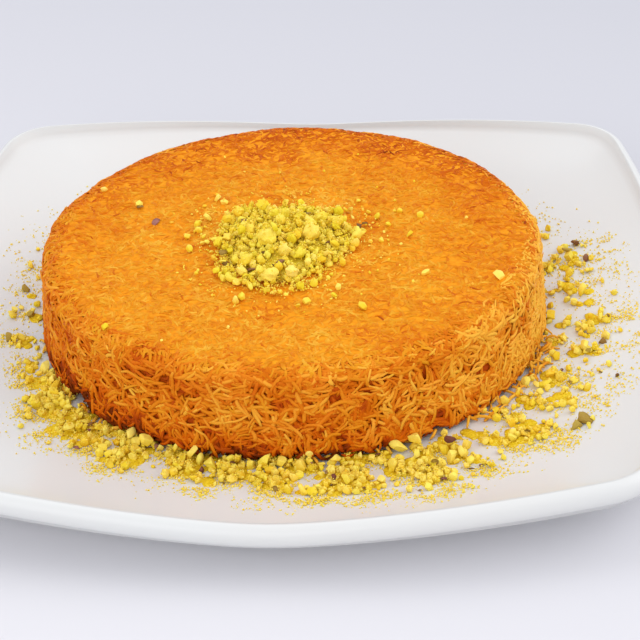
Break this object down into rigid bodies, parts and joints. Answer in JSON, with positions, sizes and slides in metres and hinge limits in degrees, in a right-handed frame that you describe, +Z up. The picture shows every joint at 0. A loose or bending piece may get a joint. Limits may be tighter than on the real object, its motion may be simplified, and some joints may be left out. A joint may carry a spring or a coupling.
{
  "type": "kunafa on a plate",
  "caption": "Round pan-baked sweet of pressed, syrup-soaked pastry shreds, topped and ringed with chopped pistachio, resting on a shallow square plate with bulging sides and a foot ring.",
  "frame": {"origin": "on the table under the middle of the plate, at the lowest point of its foot ring", "axes": "+Z up; X and Y run along the plate's sides; the front, where most loose nuts lie, faces -Y"},
  "size_m": [0.215, 0.215, 0.0418],
  "materials": {
    "porcelain": "white glossy glaze",
    "baked_shreds": "golden orange baked pastry shreds, syrup soaked",
    "chopped_pistachio": "yellow green chopped nuts with bits of purple skin"
  },
  "bodies": {
    "root": {"plate": "porcelain", "kunafa": "baked_shreds", "pistachio_heap": "chopped_pistachio"}
  },
  "joints": []
}
